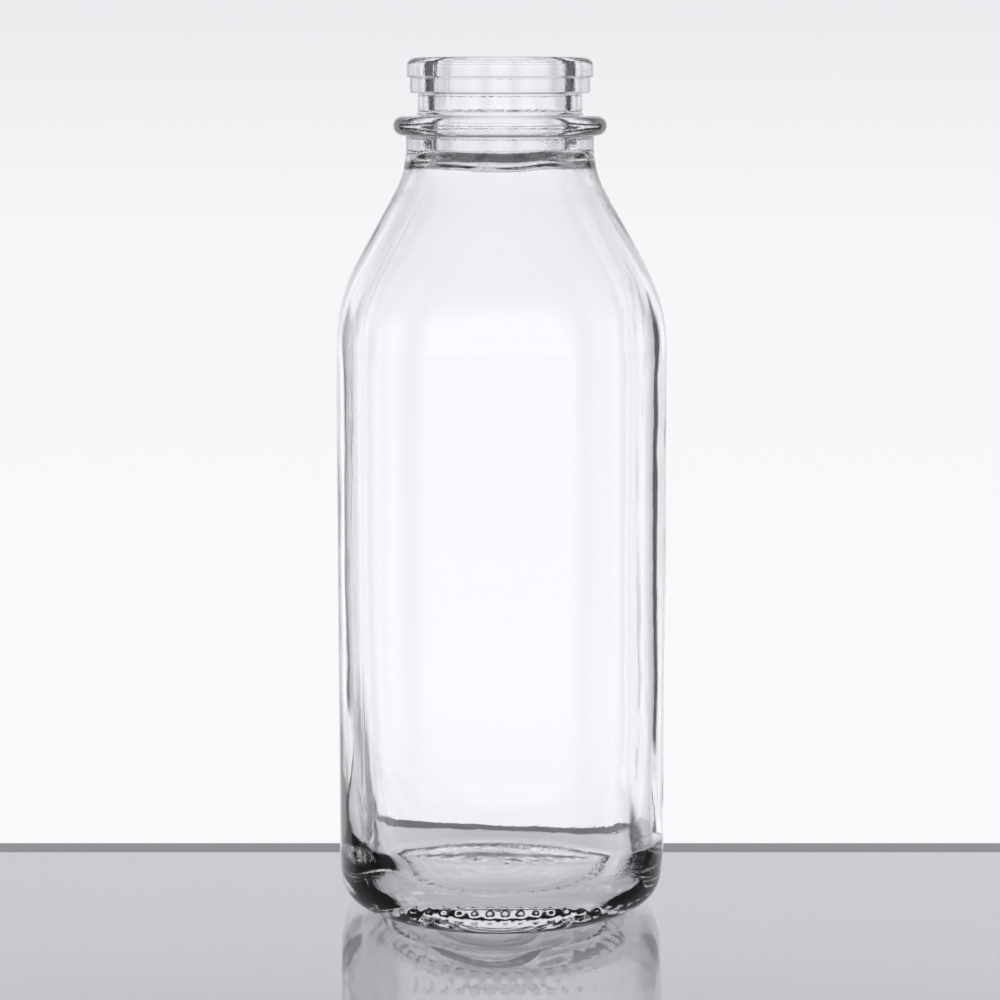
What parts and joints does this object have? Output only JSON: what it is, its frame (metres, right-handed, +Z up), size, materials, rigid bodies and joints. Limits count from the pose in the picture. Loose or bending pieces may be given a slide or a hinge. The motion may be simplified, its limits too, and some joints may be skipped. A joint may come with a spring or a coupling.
{
  "type": "milk bottle",
  "caption": "Square clear glass milk bottle with rounded corners, sloping shoulders and a round snap-cap neck, open at the top.",
  "frame": {"origin": "centre of the bearing ring on which the bottle stands", "axes": "+Z up through the mouth; the front panel, with the row of raised beads on its heel, faces -Y"},
  "size_m": [0.0854, 0.0854, 0.2233],
  "materials": {
    "clear_glass": "clear, smooth, slightly wavy blown glass"
  },
  "bodies": {
    "root": {"glass_bottle": "clear_glass"}
  },
  "joints": []
}
